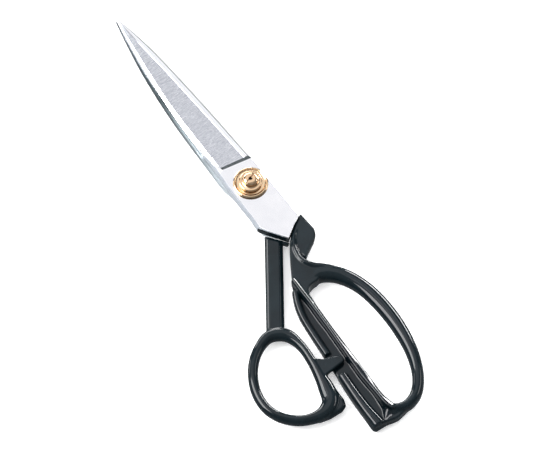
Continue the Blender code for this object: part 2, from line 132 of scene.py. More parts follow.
# The upright wall that makes the bow's straight side: y, left face, right face
STRAIGHT_WALL = ((-50.6, -13.1, -10.6), (-60, -13.3, -10.4), (-67, -13.4, -10.6), (-80, -13.9, -11.2),
                 (-90, -14.5, -11.5), (-100, -15.1, -11.8), (-108, -15.5, -12.0), (-116, -15.3, -12.3),
                 (-121, -15.2, -12.3), (-126, -15.0, -11.6), (-130, -13.9, -10.2))
THUMB_BOW = (
    (-29.9, -71.3, 3.1, 2.7, 4.9), (-36.2, -67.6, 3.0, 2.7, 4.9), (-42.8, -69.4, 2.5, 2.7, 4.9),
    (-49.4, -74.1, 2.4, 2.7, 4.9), (-54.6, -80.9, 2.3, 2.7, 4.9), (-57.8, -88.7, 2.3, 2.7, 4.9),
    (-58.4, -96.7, 2.3, 2.7, 4.9), (-56.0, -103.7, 2.3, 2.7, 4.9), (-51.0, -109.3, 2.4, 2.7, 4.9),
    (-44.9, -112.4, 2.6, 2.7, 4.9), (-38.2, -112.9, 3.4, 2.8, 4.8), (-32.8, -109.6, 3.9, 2.9, 4.7),
    (-30.6, -103.3, 3.7, 2.9, 4.7), (-29.4, -96.3, 2.7, 2.8, 4.8), (-28.2, -88.1, 2.2, 2.7, 4.9),
    (-27.8, -79.1, 2.2, 2.7, 4.9),
)
SHANK_START, SHANK_END = (-5.2, -25.6), (-33.9, -68.4)
SHANK_HALF_WIDTH, SHANK_CHAMFER = 4.1, 1.7
SHANK_BOTTOM, SHANK_TOP = 1.7, 6.4
ABOVE_ALL = 20  # a height over the whole object, for what cuts right through

CAST_VOXEL = 0.28
CAST_SMOOTHING = 14
CAST_CREASE = 50  # degrees; a sharper fold than this is a ground edge
TURNED_SIDES = 144


# ---------------------------------------------------------------- shapes

def curve_points(points, steps, closed=False):
    """Points of a smooth curve through the given ones (Catmull-Rom), with as many numbers each as those."""
    given = np.array(points, float)
    count = len(given)
    made = []
    for i in range(count if closed else count - 1):
        if closed:
            a, b, c, d = (given[(i + k) % count] for k in (-1, 0, 1, 2))
        else:
            b, c = given[i], given[i + 1]
            a = given[i - 1] if i else 2 * b - c
            d = given[i + 2] if i + 2 < count else 2 * c - b
        for t in np.arange(steps) / steps:
            made.append(0.5 * (2 * b + (c - a) * t + (2 * a - 5 * b + 4 * c - d) * t**2
                               + (3 * b - a - 3 * c + d) * t**3))
    if not closed:
        made.append(given[-1])
    return np.array(made)


def smooth_x(table):
    """x as a function of y along a smooth line given as (y, x) pairs."""
    line = curve_points(table, 16)
    return lambda y: float(np.interp(y, line[:, 0], line[:, 1]))


def straight_x(table):
    """x as a function of y along straight lines between (y, x) pairs."""
    given = np.array(table, float)
    return lambda y: float(np.interp(y, given[:, 0], given[:, 1]))


def smoothstep(t):
    """Runs softly from 0 to 1 as t does."""
    t = min(max(t, 0.0), 1.0)
    return t * t * (3 - 2 * t)


def new_object(name, points, faces):
    """A closed mesh object from points in millimetres."""
    mesh = bpy.data.meshes.new(name)
    bm = bmesh.new()
    corners = [bm.verts.new([float(v) * MM for v in p]) for p in points]
    for face in faces:
        bm.faces.new([corners[i] for i in face])
    bmesh.ops.recalc_face_normals(bm, faces=bm.faces)
    bm.to_mesh(mesh)
    bm.free()
    made = bpy.data.objects.new(name, mesh)
    bpy.context.scene.collection.objects.link(made)
    return made


def skin(rings, loop=False):
    """Faces between rings of equal length, given as lists of points, with ends unless they run in a loop."""
    size = len(rings[0])
    points = [p for ring in rings for p in ring]
    faces = []
    for r in range(len(rings) if loop else len(rings) - 1):
        s = (r + 1) % len(rings)
        for i in range(size):
            j = (i + 1) % size
            faces.append((r * size + i, r * size + j, s * size + j, s * size + i))
    if not loop:
        faces.append(tuple(range(size))[::-1])
        faces.append(tuple((len(rings) - 1) * size + i for i in range(size)))
    return points, faces


def sideways(line, closed):
    """Unit vectors to the left of a line in the XY plane, one at each point."""
    before = np.roll(line, 1, axis=0) if closed else np.vstack([line[:1], line[:-1]])
    after = np.roll(line, -1, axis=0) if closed else np.vstack([line[1:], line[-1:]])
    along = (after - before)[:, :2]
    along /= np.linalg.norm(along, axis=1)[:, None]
    return np.column_stack([-along[:, 1], along[:, 0]])


def tube(name, stations, steps, closed, sides=28, squareness=0.8):
    """A bar along stations of x, y, half width, half thickness and height.

    Its section is an ellipse at squareness 1, and nearer to a rectangle below that.
    """
    line = curve_points(stations, steps, closed)
    across = sideways(line, closed)
    turn = np.arange(sides) * 2 * math.pi / sides
    rings = []
    for (x, y, wide, thick, height), (nx, ny) in zip(line, across):
        flat = wide * np.sign(np.cos(turn)) * np.abs(np.cos(turn)) ** squareness
        tall = thick * np.sign(np.sin(turn)) * np.abs(np.sin(turn)) ** squareness
        rings.append([(x + nx * f, y + ny * f, height + h) for f, h in zip(flat, tall)])
    return new_object(name, *skin(rings, loop=closed))


def plate(name, outline, bottom, top, edge, under=None):
    """A flat plate between two heights, with its rims chamfered. The outline runs anticlockwise.

    under is the lower chamfer, where it isn't the same as the upper one.
    """
    line = np.array(outline, float)
    inwards = sideways(line, True)
    low_edge = under or edge
    rings = []
    for height, inset in ((bottom, low_edge), (bottom + low_edge, 0), (top - edge, 0), (top, edge)):
        rings.append([(x, y, height) for x, y in line[:, :2] + inwards * inset])
    return new_object(name, *skin(rings))


def cutter(name, outline, bottom, top):
    """A plate that only cuts, so its rims stay as good as sharp."""
    return plate(name, outline, bottom, top, 0.01)


def turned(name, profile):
    """A ring turned about the pivot axis from a closed profile of (radius, height)."""
    rings = []
    for i in range(TURNED_SIDES):
        a = 2 * math.pi * i / TURNED_SIDES
        rings.append([(r * math.cos(a), r * math.sin(a), z) for r, z in profile])
    return new_object(name, *skin(rings, loop=True))


def drum(name, radius, bottom, top, sides=96):
    """A helper cylinder about the pivot axis."""
    rings = [[(radius * math.cos(2 * math.pi * i / sides), radius * math.sin(2 * math.pi * i / sides), z)
              for i in range(sides)] for z in (bottom, top)]
    return new_object(name, *skin(rings))


def block(name, x, y, z, angle=0.0):
    """A helper box between pairs of limits, turned about the pivot axis."""
    c, s = math.cos(angle), math.sin(angle)
    rings = [[(px * c - py * s, px * s + py * c, h) for px, py in
              ((x[0], y[0]), (x[1], y[0]), (x[1], y[1]), (x[0], y[1]))] for h in z]
    return new_object(name, *skin(rings))


def bar_between(name, start, end, section):
    """A straight bar whose section is given as (offset to the left, height)."""
    (x0, y0), (x1, y1) = start, end
    length = math.hypot(x1 - x0, y1 - y0)
    nx, ny = -(y1 - y0) / length, (x1 - x0) / length
    rings = [[(x + nx * off, y + ny * off, h) for off, h in section] for x, y in (start, end)]
    return new_object(name, *skin(rings))


def settle(obj):
    """Applies the modifiers and returns the object with its final mesh."""
    graph = bpy.context.evaluated_depsgraph_get()
    final = bpy.data.meshes.new_from_object(obj.evaluated_get(graph))
    obj.modifiers.clear()
    obj.data = final
    return obj


def combine(base, others, operation):
    """Joins the others to the base or cuts them from it, then deletes them."""
    for other in others:
        step = base.modifiers.new(other.name, "BOOLEAN")
        step.operation = operation
        step.solver = "EXACT"
        step.object = other
    settle(base)
    for other in others:
        bpy.data.objects.remove(other)
    return base


def cast(base, others, soft_cuts, crisp_cuts):
    """Joins rough shapes into one casting, with every inner corner filled and every edge run soft.

    The crisp cuts are ground afterwards, so their edges stay sharp.
    """
    combine(base, others, "UNION")
    combine(base, soft_cuts, "DIFFERENCE")
    grid = base.modifiers.new("grid", "REMESH")
    grid.mode = "VOXEL"
    grid.voxel_size = CAST_VOXEL * MM
    soft = base.modifiers.new("soft", "SMOOTH")
    soft.factor = 0.5
    soft.iterations = CAST_SMOOTHING
    settle(base)
    combine(base, crisp_cuts, "DIFFERENCE")
    smooth_by_angle(base, CAST_CREASE)
    return base


def smooth_by_angle(obj, degrees=28):
    """Shades the object smooth, except at folds sharper than the angle."""
    obj.data.shade_smooth()
    obj.data.set_sharp_from_angle(angle=math.radians(degrees))


# ---------------------------------------------------------------- handles

def thumb_handle():
    """The ring, its bevelled shank, and the tongue that stops it against the finger handle's wall."""
    made = tube("thumb_handle_cast", THUMB_BOW, steps=10, closed=True, squareness=0.95)
    half, corner, low, high = SHANK_HALF_WIDTH, SHANK_CHAMFER, SHANK_BOTTOM, SHANK_TOP
    shank = bar_between("shank", SHANK_START, SHANK_END, (
        (half, low + corner), (half, high - corner), (half - corner, high), (corner - half, high),
        (-half, high - corner), (-half, low + corner), (corner - half, low), (half - corner, low)))
    wing = plate("wing", ((-44.6, -112.1), (-42.8, -115.8), (-37.7, -116.8), (-31.2, -116.8), (-28.5, -115.5),
                          (-27.4, -112.6), (-27.2, -105), (-26.5, -98.7), (-26.7, -92), (-30.1, -96),
                          (-32.1, -105), (-35.6, -111)), 2.4, 5.8, 1.0)
    tongue = plate("tongue", ((-29.5, -98.6), (-26.2, -98.4), (-17.2, -97.4), (-16.2, -96.6), (-15.9, -95.2),
                              (-16.5, -94.0), (-23.9, -91.2), (-26.8, -88.9), (-28.4, -88.2)), 4.75, 7.2, 0.3)
    root = plate("root", ((-9.6, -22.6), (-9.2, -24.0), (-8.6, -25.6), (-5.6, -30.6), (-2.9, -33.6),
                          (-1.6, -32.8), (-4.7, -29.2), (-8.4, -22.4)), 2.4, 5.3, 0.4)
    seat = cutter("shank_end", ((-3.4, -32.7), (10, -20), (0, -10), (-14, -14), (-12.0, -23.0),
                                (-9.4, -25.4)), 5.4, ABOVE_ALL)
    v_cut = cutter("thumb_v_cut", ((-1.9, -33.0), (10, -20), (0, -10), (-14, -14), (-10.9, -22.7),
                                   (-8.6, -24.8)), 0, ABOVE_ALL)
    return cast(made, [shank, wing, tongue, root], [seat], [v_cut])


def straight_wall():
    """The thin upright wall of the finger bow, with a crest along its left side."""
    rings = []
    for y, left, right in curve_points(STRAIGHT_WALL, 6):
        rings.append([(left, y, 2.0), (right - 0.3, y, 2.0), (right + 0.1, y, 2.7), (right + 0.1, y, 6.9),
                      (right - 0.4, y, 7.9), (left + 1.2, y, 8.75), (left + 0.7, y, 8.85),
                      (left + 0.3, y, 8.65), (left + 0.05, y, 8.25), (left - 0.1, y, 7.6)])
    return new_object("straight_wall", *skin(rings))


def gusset():
    """The sloping facet in the lower end of the recess."""
    upper = [(-13.5, -120.0, 2.0), (-13.5, -120.0, 8.0), (-15.0, -120.0, 7.8), (-15.4, -120.0, 2.0)]
    middle = [(-13.0, -126.0, 2.0), (-13.0, -126.0, 7.9), (-14.6, -126.0, 7.6), (-17.6, -126.0, 2.0)]
    lower = [(-12.0, -131.6, 2.0), (-12.0, -131.6, 7.2), (-14.2, -131.6, 6.8), (-19.2, -131.6, 3.9)]
    return new_object("gusset", *skin([upper, middle, lower]))


def finger_handle():
    """The long bow with its upright wall, the neck up to the blade, and the ribbed flange beside the wall."""
    made = tube("finger_handle_cast", FINGER_BOW, steps=10, closed=True, squareness=0.92)
    neck = plate("neck", ((10.5, -30.0), (9.9, -24.4), (-1.8, -33.1), (-4.4, -37.0), (-5.0, -43.5),
                          (-1.5, -45.6), (-0.2, -44.2), (1.5, -42.9), (3.8, -41.4), (7.2, -39.3),
                          (9.7, -37.0), (10.8, -34.3)), 1.7, 6.6, 0.5, under=2.4)
    shoulder = plate("shoulder", ((10.5, -30.0), (9.9, -24.4), (-0.1, -31.5), (-0.5, -34.4), (-1.0, -37.8),
                                  (-1.8, -41.2), (-1.0, -44.6), (1.5, -42.9), (3.8, -41.4), (7.2, -39.3),
                                  (9.7, -37.0), (10.8, -34.3)), 5.0, 7.9, 0.5)
    web = plate("web", ((-1.8, -33.4), (-4.3, -36.7), (-8.2, -43.0), (-11.9, -49.4), (-13.3, -51.5),
                        (-13.2, -58.0), (-13.2, -66.0), (-10.6, -66.0), (-9.6, -61.2), (-6.4, -58.8),
                        (3, -54.5), (3.6, -52.5), (0.6, -50.4), (-1.6, -48.0), (-3.2, -44.8), (-3.2, -41.0),
                        (-1.8, -37.0)), 2.0, 8.3, 0.5)
    rib = tube("neck_rib", ((4.4, -29.9, 0.9, 2.4, 5.6), (1.4, -32.2, 1.2, 2.8, 5.8),
                            (-0.3, -33.9, 1.3, 3.0, 5.9), (-2.0, -37.1, 1.4, 3.1, 5.9),
                            (-3.2, -41.2, 1.5, 3.2, 5.9), (-3.2, -44.7, 1.6, 3.2, 5.9),
                            (-1.7, -48.2, 1.7, 3.2, 5.8), (0.4, -50.6, 1.7, 3.2, 5.6),
                            (3.4, -52.9, 1.6, 3.2, 5.4), (7.0, -56.4, 1.5, 3.0, 5.1),
                            (9.4, -60.6, 1.2, 2.6, 4.9)), steps=8, closed=False, sides=24)
    floor = plate("flange", ((-13.6, -52.4), (-14.4, -54.8), (-17.2, -59.0), (-18.8, -62.6), (-20.2, -67.7),
                             (-21.2, -77.0), (-22.0, -86.0), (-22.5, -92.0), (-23.1, -100.0), (-24.3, -109.0),
                             (-25.3, -126.4), (-25.6, -131.2), (-25.0, -132.7), (-23.6, -133.2),
                             (-18.8, -133.2), (-15.0, -134.0), (-12.8, -134.2), (-9.0, -133.3),
                             (-4.2, -132.0), (-8, -129), (-14, -126), (-14, -90), (-13.0, -60)),
                  2.0, 4.3, 0.4)
    upper_rib = tube("upper_rib", ((-14.2, -55.4, 1.5, 2.7, 4.8), (-16.9, -61.4, 1.6, 2.6, 4.6),
                                   (-18.8, -68.5, 1.6, 2.5, 4.4), (-19.8, -78.0, 1.6, 2.4, 4.3),
                                   (-20.7, -90.0, 1.6, 2.4, 4.3)),
                     steps=8, closed=False, sides=20, squareness=0.7)
    lower_rib = tube("lower_rib", ((-21.3, -102.0, 2.2, 3.6, 3.7), (-22.3, -114.0, 2.4, 3.9, 3.9),
                                   (-22.5, -123.0, 2.7, 3.9, 3.9), (-22.0, -132.2, 3.2, 3.7, 3.7)),
                     steps=8, closed=False, sides=32)
    corner = plate("corner", ((-24.9, -130.9), (-24.4, -132.5), (-18.8, -133.0), (-15.0, -133.9),
                              (-12.8, -134.1), (-9.0, -133.2), (-4.2, -131.9), (-6, -129.5), (-12.2, -129.0),
                              (-14.2, -131.6), (-18.2, -132.0), (-20.2, -130.5)), 2.0, 6.5, 0.4)
    front_v = cutter("front_v_cut", ((9.5, -24.6), (12, -10), (-16, -10), (-12, -22), (-2.15, -32.95)),
                     REAR_TOP + 0.05, ABOVE_ALL)
    rear_v = cutter("rear_v_cut", ((8.3, -24.9), (8.3, -10), (-12, -10), (-12, -20.6), (-1.2, -31.9)),
                    0, REAR_TOP + 0.1)
    hole = cutter("bow_hole", curve_points(BOW_HOLE, 6, closed=True), 0, ABOVE_ALL)
    joined = [straight_wall(), neck, shoulder, web, rib, floor, upper_rib, lower_rib, corner, gusset()]
    return cast(made, joined, [hole], [front_v, rear_v])


# ---------------------------------------------------------------- blades

def blade_columns(width, left, right):
    """Distances from the cutting edge to a blade's lengthwise lines. The panel lies from left to right."""
    small = min(1.0, width / FULL_WIDTH)
    wall, fine = PANEL_WALL * small, FINE * small
    rim = [share * small for share in (0.0, 0.05, 0.11, 0.19, 0.3)]
    columns = list(rim)
    columns += list(np.linspace(rim[-1], left - fine, 6))[1:]
    columns += [left, left + wall, left + wall + fine]
    columns += list(np.linspace(left + wall + fine, right - wall - fine, 14))[1:]
    columns += [right - wall, right, right + fine]
    columns += list(np.linspace(right + fine, width - rim[-1], 5))[1:]
    columns += [width - distance for distance in rim[-2::-1]]
    return columns


# The lines of blade_columns and of the mating face, counted round from the cutting edge
RIM_COLUMN = 5  # just past the cutting edge's rounding
PANEL_COLUMNS = (10, 27)  # the panel's two sides
SPINE_COLUMN = 33  # just past the start of the spine's rounding
FRONT_SPINE, BACK_SPINE = (31, 37), (32, 38)  # the dull spine of the front blade, and the spine of the rear one, painted with light and shade
INNER_COLUMN = 38  # where the mating face starts
INNER_LINES = 13

# How far the finishes run along a blade
V_TOP = -21.5  # the walls of the front ricasso's V are enamelled up to here
DULL_EDGE_RUN, BRUSHED_RUN = 12, 22  # past the ricasso


def blade_rows(first):
    """Where a blade is cut across, from the end of its ricasso: most closely round the plunge."""
    ends = (first, first + 9, RICASSO_Y - 3, RICASSO_Y + 3, TIP_Y - 12, TIP_Y)
    rows = [first]
    for start, stop, count in zip(ends, ends[1:], (28, 30, 49, 110, 40)):
        rows += list(np.linspace(start, stop, count))[1:]
    return np.array(rows)


def corner_drop(radius, distance):
    """How far a rounded corner lies below its flat, at a distance in from its edge."""
    if distance >= radius:
        return 0.0
    return radius - math.sqrt(max(radius**2 - (radius - distance) ** 2, 0))


def blade(name, edge_line, spine_line, panel, ricasso_edge, ricasso_spine, mating, side):
    """A whole blade, from the V of its ricasso to its tip, as one skin.

    side is +1 when its outer face looks up and its spine is at +X. across is measured from the cutting edge.
    panel holds the panel's two sides, or nothing for a blade without one. Returns the blade, the number of
    points in each of its rings, and the rings' y.
    """
    edge_at, spine_at = smooth_x(edge_line), smooth_x(spine_line)
    low_edge, low_spine = straight_x(ricasso_edge), straight_x(ricasso_spine)
    first = min(ricasso_edge[0][0], ricasso_spine[0][0])
    ys = blade_rows(first)
    rings = []
    for y in ys:
        slant = smoothstep((y - first) / SLANT_RISE) * smoothstep((RICASSO_Y + SLANT_END - y) / SLANT_FADE)
        blend = smoothstep((y - RICASSO_Y + BLEND_BEFORE) / BLEND_LENGTH)
        at = max(y, RICASSO_Y)
        edge = low_edge(y) * (1 - blend) + edge_at(at) * blend
        spine = low_spine(y) * (1 - blend) + spine_at(at) * blend
        width = (spine - edge) * side
        share = (at - RICASSO_Y) / (TIP_Y - RICASSO_Y)
        if panel:
            thick = (BLADE_STOCK - BLADE_DROP) * (1 - share) + TIP_THICKNESS * share
            left = max(0.1 * width, (panel[0](at) - edge) * side)
            right = min(0.88 * width, (panel[1](at) - edge) * side)
            right = max(right, left + 0.25 * width)
        else:
            thick = BLADE_STOCK * (1 - share) + REAR_TIP_THICKNESS * share
            left, right = 0.2 * width, 0.8 * width
        bevel_top = EDGE_LAND + BEVEL_TOP * (thick - EDGE_LAND)
        land = max(EDGE_LAND, bevel_top - BEVEL_SLOPE * left) if panel else EDGE_LAND
        sunk = min(PANEL_DEPTH, 0.2 * thick)
        wall = PANEL_WALL * min(1.0, width / FULL_WIDTH)
        edge_round = EDGE_ROUND if panel else RIM_ROUND
        section = []
        for across in blade_columns(width, left, right):
            # The ground face: bevel, sunken panel, spine strip
            flat = np.interp(across, (0, left, right), (land, bevel_top, thick))
            ground = flat - sunk * smoothstep((across - left) / wall) * smoothstep((right - across) / wall)
            # The run down from the ricasso: steep behind the panel, long towards the cutting edge
            fall = smoothstep((y - RICASSO_Y) / (PLUNGE + EDGE_RUN * max(0.0, EDGE_RUN_WIDTH - across)))
            depth = BLADE_STOCK * (1 - fall) + ground * fall
            depth -= corner_drop(RIM_ROUND, width - across) + (1 - fall) * corner_drop(edge_round, across)
            section.append((across, depth))
        hollow = HOLLOW * smoothstep((y - RICASSO_Y - 4) / 12) * smoothstep((TIP_Y - 4 - y) / 10)
        for across in np.linspace(width, 0, INNER_LINES):
            section.append((across, hollow * (1 - (2 * across / width - 1) ** 2)))
        rings.append([(edge + side * across, y + slant * (SLANT + SLANT_PER_MM * across),
                       mating + side * depth) for across, depth in section])
    return new_object(name, *skin(rings)), len(rings[0]), ys


# The finishes on a blade, in the order of its material slots
POLISHED, PANEL, ENAMEL, PLUNGE_SHADE, REAR_SPINE, DULL_EDGE, DULL_SPINE, BRUSHED, MATING = range(9)


def finish_at(row_y, column, ring_size, steep, front):
    """The finish of one face, from its place along the blade and round the ring."""
    on_panel = PANEL_COLUMNS[0] <= column < PANEL_COLUMNS[1]
    if on_panel and row_y > RICASSO_Y + PLUNGE:
        return PANEL
    if front and row_y < V_TOP and steep:
        return ENAMEL
    # the step down behind the panel, painted near-black as shade
    if PANEL_COLUMNS[0] <= column < SPINE_COLUMN and RICASSO_Y < row_y < RICASSO_Y + PLUNGE:
        return PLUNGE_SHADE
    if INNER_COLUMN <= column < ring_size - 1:
        return MATING
    if front and row_y > RICASSO_Y + 1 and FRONT_SPINE[0] <= column < FRONT_SPINE[1]:
        return DULL_SPINE
    # the rear blade's spine gets the painted light-and-shade gradient
    if not front and BACK_SPINE[0] <= column < BACK_SPINE[1]:
        return REAR_SPINE
    if front and row_y < RICASSO_Y + DULL_EDGE_RUN and (column < RIM_COLUMN or column == ring_size - 1):
        return DULL_EDGE
    if front and column < PANEL_COLUMNS[0] and RICASSO_Y - 1 < row_y < RICASSO_Y + BRUSHED_RUN:
        return BRUSHED
    return POLISHED


def paint_blade(made, ring_size, ys, front):
    """Gives each face of a blade its finish. The cap at the tip stays polished."""
    for face in made.data.polygons:
        row, column = divmod(face.index, ring_size)
        if row < len(ys) - 1:
            steep = abs(face.normal[2]) < 0.5
            face.material_index = finish_at((ys[row] + ys[row + 1]) / 2, column, ring_size, steep, front)


def front_blade():
    panel = smooth_x(PANEL_LEFT_X), smooth_x(PANEL_RIGHT_X)
    return blade("thumb_blade_ground", FRONT_EDGE_X, SPINE_X, panel, FRONT_LEFT_X, FRONT_RIGHT_X,
                 FRONT_BOTTOM, 1)


def rear_blade():
    # Its cutting edge stays behind the front blade's spine
    hidden_edge = tuple((y, x - 1.1 * (TIP_Y - y) / (TIP_Y - RICASSO_Y) - 0.1) for y, x in SPINE_X)
    return blade("finger_blade_ground", hidden_edge, REAR_SPINE_X, None, REAR_RIGHT_X, REAR_LEFT_X,
                 REAR_TOP, -1)


# ---------------------------------------------------------------- pivot

def washer():
    """The seat under the nut: a dished disc with a rolled rim."""
    low, bore, roll = WASHER_BOTTOM, THREAD_R + CLEARANCE, 0.62
    centre_r, centre_z = WASHER_R - roll, low + 0.42
    rim = [(centre_r + roll * math.sin(a), centre_z + roll * 0.95 * math.cos(a))
           for a in np.radians(np.linspace(128, -62, 22))]
    dish = [(centre_r - 0.85, low + 0.56), (NUT_R + 0.9, low + 0.5), (NUT_R + 0.1, low + 0.62),
            (bore, low + 0.8)]
    return turned("pivot_washer_turned", [(bore, low), (centre_r, low)] + rim + dish)


def nut():
    """A stepped cap nut, slotted for a driver, with a small hole through its cap."""
    low, top, bore, hole, cap = NUT_BOTTOM, NUT_TOP, THREAD_R + CLEARANCE, CAP_HOLE_R, 0.8
    outline = [(NUT_R - 0.15, low), (NUT_R, low + 0.15), (NUT_R, low + 0.5), (NUT_R - 0.12, low + 0.75),
               (NUT_R - 0.4, low + 0.9), (NUT_R - 0.9, low + 0.96), (4.0, low + 1.02), (3.7, low + 1.12),
               (3.5, low + 1.35), (3.42, top - 1.2), (3.34, top - 0.8), (3.15, top - 0.5), (2.8, top - 0.25),
               (2.3, top - 0.07), (1.7, top), (hole + 0.15, top - 0.02), (hole, top - 0.15)]
    fine = [tuple(p) for p in curve_points(outline, 4)]
    made = turned("tension_nut_turned", [(bore, low)] + fine + [(hole, top - cap), (bore, top - cap)])
    slot = block("driver_slot", (-SLOT_HALF_LENGTH, SLOT_HALF_LENGTH), (-SLOT_HALF_WIDTH, SLOT_HALF_WIDTH),
                 (top - SLOT_DEPTH, top + 1), SLOT_ANGLE)
    return combine(made, [slot], "DIFFERENCE")


# ---------------------------------------------------------------- materials

def fill_ramp(ramp, stops):
    """Sets a colour ramp from pairs of position and colour."""
    while len(ramp.elements) < len(stops):
        ramp.elements.new(0.5)
    for element, (at, colour) in zip(ramp.elements, stops):
        element.position = at
        element.color = (*colour, 1)


class Nodes:
    """One node material, with short names for the nodes that it is built from."""

    def __init__(self, name, colour, metallic, roughness):
        self.material = bpy.data.materials.new(name)
        self.material.use_nodes = True
        self.tree = self.material.node_tree
        self.shader = self.tree.nodes["Principled BSDF"]
        self.shader.inputs["Base Color"].default_value = (*colour, 1)
        self.shader.inputs["Metallic"].default_value = metallic
        self.shader.inputs["Roughness"].default_value = roughness
        self.place = self.tree.nodes.new("ShaderNodeTexCoord").outputs["Object"]

    def stretched(self, scale, angle=0.0):
        """The object's own place, in metres, scaled unevenly so that grain runs one way."""
        made = self.tree.nodes.new("ShaderNodeMapping")
        made.inputs["Scale"].default_value = scale
        made.inputs["Rotation"].default_value = (0, 0, angle)
        self.tree.links.new(self.place, made.inputs["Vector"])
        return made.outputs["Vector"]

    def along(self, axis):
        """The object's own place along one axis, in metres."""
        made = self.tree.nodes.new("ShaderNodeSeparateXYZ")
        self.tree.links.new(self.place, made.inputs["Vector"])
        return made.outputs[axis]

    def noise(self, where, scale, detail=3.0, roughness=0.6):
        made = self.tree.nodes.new("ShaderNodeTexNoise")
        made.inputs["Scale"].default_value = scale
        made.inputs["Detail"].default_value = detail
        made.inputs["Roughness"].default_value = roughness
        self.tree.links.new(where, made.inputs["Vector"])
        return made.outputs["Fac"]

    def ranged(self, value, low, high, start=0.3, stop=0.7):
        """The value from start to stop, stretched to run from low to high."""
        made = self.tree.nodes.new("ShaderNodeMapRange")
        made.inputs["From Min"].default_value = start
        made.inputs["From Max"].default_value = stop
        made.inputs["To Min"].default_value = low
        made.inputs["To Max"].default_value = high
        self.tree.links.new(value, made.inputs["Value"])
        return made.outputs["Result"]

    def colours(self, value, stops):
        made = self.tree.nodes.new("ShaderNodeValToRGB")
        fill_ramp(made.color_ramp, stops)
        self.tree.links.new(value, made.inputs["Fac"])
        return made.outputs["Color"]

    def math(self, operation, a, b):
        made = self.tree.nodes.new("ShaderNodeMath")
        made.operation = operation
        for socket, value in zip(made.inputs, (a, b)):
            if isinstance(value, (int, float)):
                socket.default_value = value
            else:
                self.tree.links.new(value, socket)
        return made.outputs["Value"]

    def bump(self, height, strength, distance):
        made = self.tree.nodes.new("ShaderNodeBump")
        made.inputs["Strength"].default_value = strength
        made.inputs["Distance"].default_value = distance
        self.tree.links.new(height, made.inputs["Height"])
        self.link(made.outputs["Normal"], "Normal")

    def link(self, value, socket):
        self.tree.links.new(value, self.shader.inputs[socket])


def polished_steel(name, rough):
    """Bright steel with faint streaks along the blade."""
    m = Nodes(name, (0.90, 0.895, 0.915), 1.0, rough)
    streaks = m.noise(m.stretched((1.0, 0.06, 1.0)), 2600, 4)
    clouds = m.noise(m.place, 90, 3)
    m.link(m.colours(clouds, ((0.3, (0.84, 0.84, 0.865)), (0.7, (0.91, 0.905, 0.92)))), "Base Color")
    m.link(m.math("ADD", m.ranged(streaks, rough - 0.04, rough + 0.03), m.ranged(clouds, -0.02, 0.02)),
           "Roughness")
    m.bump(streaks, 0.06, 0.00002)
    return m.material


def satin_steel(name, brightness):
    """Steel ground across the blade's length, so that fine lines run across it."""
    m = Nodes(name, (0.44, 0.455, 0.49), 1.0, 0.26)
    lines = m.noise(m.stretched((0.10, 1.0, 1.0), 0.25), 2400, 5, 0.7)
    specks = m.noise(m.place, 1400, 4, 0.7)
    both = m.math("MULTIPLY", lines, specks)
    tones = ((0.14, (0.42, 0.435, 0.475)), (0.28, (0.54, 0.552, 0.59)), (0.46, (0.76, 0.765, 0.79)))
    m.link(m.colours(both, [(at, tuple(c * brightness for c in tone)) for at, tone in tones]), "Base Color")
    m.link(m.ranged(lines, 0.22, 0.32), "Roughness")
    m.bump(both, 0.3, 0.00004)
    return m.material


def dull_steel(name, tint):
    """Edges that are left from the drop forging, neither ground nor polished."""
    m = Nodes(name, tint, 0.0, 0.45)
    m.shader.inputs["IOR"].default_value = 1.15
    grain = m.noise(m.stretched((1.0, 0.12, 1.0)), 1500, 4)
    m.link(m.colours(grain, ((0.3, tuple(c * 0.85 for c in tint)), (0.7, tint))), "Base Color")
    m.link(m.ranged(grain, 0.38, 0.52), "Roughness")
    m.bump(grain, 0.1, 0.00002)
    return m.material


def plunge_shade():
    """Painted shade on the step behind the panel: a near-black tone where the step lies in shade."""
    m = Nodes("painted_shade_in_the_plunge", (0.014, 0.02, 0.022), 0.0, 0.6)
    m.shader.inputs["IOR"].default_value = 1.3
    grain = m.noise(m.place, 1600, 4)
    m.link(m.colours(grain, ((0.3, (0.008, 0.012, 0.014)), (0.7, (0.02, 0.027, 0.03)))), "Base Color")
    m.link(m.ranged(grain, 0.5, 0.7), "Roughness")
    m.bump(grain, 0.15, 0.00003)
    return m.material


def rear_spine_painted_shade():
    """Painted light and shade along the rear blade's spine: a painted gradient, pale beside the pivot and
    near-black towards the tip.
    """
    m = Nodes("spine_steel_painted_shade", (0.3, 0.33, 0.35), 0.6, 0.4)
    grain = m.noise(m.stretched((1.0, 0.1, 1.0)), 1500, 4)
    # painted light and shade: the spine's colour runs from pale at the pivot to near-black towards the tip
    along = m.math("ADD", m.ranged(m.along("Y"), 0.0, 1.0, 0.005, 0.06), m.ranged(grain, -0.08, 0.08))
    tones = ((0.0, (0.66, 0.72, 0.76)), (0.45, (0.26, 0.30, 0.32)), (1.0, (0.04, 0.055, 0.06)))
    m.link(m.colours(along, tones), "Base Color")
    m.link(m.ranged(grain, 0.3, 0.45), "Roughness")
    m.bump(grain, 0.08, 0.00002)
    return m.material


def enamel():
    """Gloss black enamel, with a faint orange peel."""
    m = Nodes("gloss_black_enamel", (0.003, 0.007, 0.009), 0.0, 0.14)
    m.shader.inputs["IOR"].default_value = 1.42
    peel = m.noise(m.place, 900, 2, 0.5)
    patches = m.noise(m.place, 110, 4)
    specks = m.noise(m.place, 3200, 2)
    m.link(m.colours(patches, ((0.35, (0.002, 0.005, 0.007)), (0.7, (0.004, 0.009, 0.012)))), "Base Color")
    m.link(m.math("ADD", m.ranged(patches, 0.07, 0.14), m.ranged(specks, -0.02, 0.03)), "Roughness")
    m.bump(peel, 0.12, 0.00003)
    return m.material


